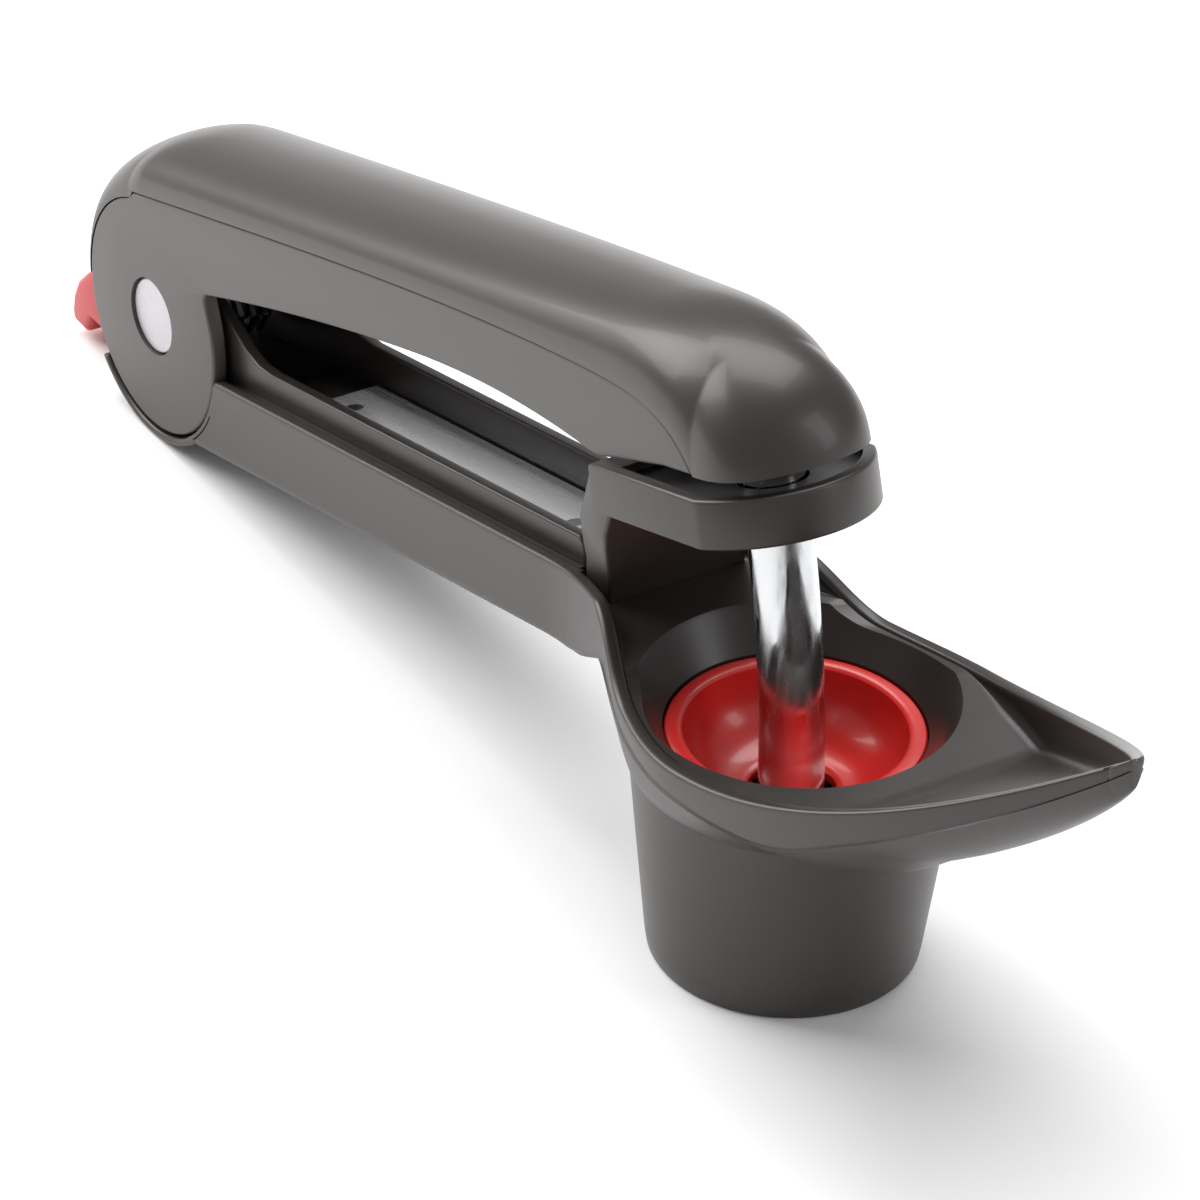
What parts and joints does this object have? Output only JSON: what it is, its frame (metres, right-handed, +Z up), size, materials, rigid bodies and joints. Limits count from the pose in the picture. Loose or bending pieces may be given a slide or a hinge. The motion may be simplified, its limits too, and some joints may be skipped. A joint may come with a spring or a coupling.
{
  "type": "olive pitter",
  "caption": "Hand olive pitter: long dark lever hinged on a channelled handle, bent steel rod through a guard plate, red seat over an open cup, spouted tray.",
  "frame": {"origin": "centre of the cup's foot, on the surface it stands on", "axes": "+X forward from the hinge to the spout, +Y to the left seen from the hinge, +Z up"},
  "size_m": [0.2332, 0.046, 0.0802],
  "materials": {
    "dark_plastic": "satin warm charcoal",
    "lever_plastic": "matte charcoal",
    "cover_plastic": "satin warm charcoal",
    "red_seat": "gloss red",
    "red_latch": "gloss light red",
    "rod_chrome": "polished",
    "pin_steel": "satin",
    "strip_steel": "bright polished",
    "screw_steel": "zinc plated",
    "spring_steel": "drawn wire"
  },
  "bodies": {
    "handle": {"handle_body": "dark_plastic", "splash_cup": "dark_plastic", "red_seat": "red_seat", "guard": "dark_plastic", "guard_screws": "screw_steel", "steel_strip": "strip_steel", "strip_screws": "screw_steel", "spring_tube": "screw_steel", "return_spring": "spring_steel", "pivot_washers": "screw_steel"},
    "lever": {"lever_frame": "lever_plastic", "grip_cover": "cover_plastic", "cover_screws": "screw_steel", "pitting_rod": "rod_chrome", "rod_cross_pin": "screw_steel", "hinge_pin": "pin_steel", "pin_cap": "pin_steel"},
    "latch": {"latch_slide": "red_latch", "latch_pin": "screw_steel", "latch_washer": "screw_steel"}
  },
  "joints": [
    {"name": "lever_hinge", "type": "hinge", "parent": "handle", "child": "lever", "pos_m": [-0.1372, 0, 0.0178], "axis": [0, -1, 0], "range_deg": [0, 20.5]},
    {"name": "latch_slide_joint", "type": "slide", "parent": "handle", "child": "latch", "axis": [-1, 0, 0], "range_m": [-0.002, 0]}
  ]
}
